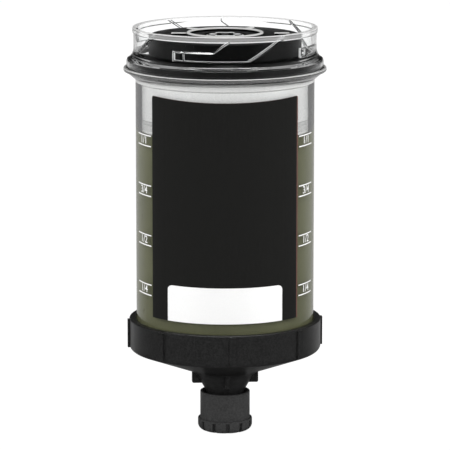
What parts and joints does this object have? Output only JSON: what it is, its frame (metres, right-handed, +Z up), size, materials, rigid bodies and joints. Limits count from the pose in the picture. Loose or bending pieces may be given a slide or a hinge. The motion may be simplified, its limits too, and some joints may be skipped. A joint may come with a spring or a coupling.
{
  "type": "automatic lubricator grease cartridge",
  "caption": "Clear grease cartridge of an automatic lubricator, with a bayonet collar, a spindle-driven piston, a ribbed base cup and a fluted cap on its outlet thread.",
  "frame": {"origin": "centre of the closing cap's bottom, the lowest point, on the cartridge's axis", "axes": "+Z up the cartridge's axis from the outlet to the bayonet collar, -Y towards the middle of the label"},
  "size_m": [0.0612, 0.0612, 0.1242],
  "materials": {
    "clear_plastic": "clear moulded",
    "seal_rubber": "matt",
    "black_plastic": "satin moulded",
    "cap_plastic": "satin moulded",
    "washer_steel": "blackened",
    "spindle_steel": "turned",
    "natural_plastic": "natural moulded",
    "pale_rubber": "matt",
    "nut_brass": "turned",
    "grease_green": "soft grease",
    "label_black": "satin film",
    "print_white": "matt print"
  },
  "bodies": {
    "housing": {"reservoir": "clear_plastic", "bayonet_collar": "clear_plastic", "collar_seal": "seal_rubber", "outlet_seal": "seal_rubber", "drive_plate": "black_plastic", "thrust_washer": "washer_steel", "grease": "grease_green", "funnel_grease": "grease_green", "base_cup": "black_plastic", "label": "label_black", "writing_field": "print_white", "fill_marks": "print_white"},
    "spindle": {"drive_hub": "black_plastic", "retaining_clip": "washer_steel", "spindle": "spindle_steel"},
    "piston": {"piston": "natural_plastic", "piston_seal_lower": "pale_rubber", "piston_seal_upper": "pale_rubber", "spindle_nut": "nut_brass", "spindle_wiper": "pale_rubber"},
    "outlet_cap": {"outlet_cap": "cap_plastic", "cap_seal": "seal_rubber"}
  },
  "joints": [
    {"name": "piston_travel", "type": "slide", "parent": "housing", "child": "piston", "axis": [0, 0, -1], "range_m": [0, 0.0603], "deforming": ["grease"]},
    {"name": "spindle_turn", "type": "hinge", "parent": "housing", "child": "spindle", "pos_m": [0, 0, 0.115], "axis": [0, 0, 1], "range_deg": [0, 7237]},
    {"name": "cap_pull", "type": "slide", "parent": "housing", "child": "outlet_cap", "axis": [0, 0, -1], "range_m": [0, 0.02]}
  ],
  "couplings": [
    {"joint": "spindle_turn", "follows": "piston_travel", "rad_per_m": 2094.4}
  ]
}
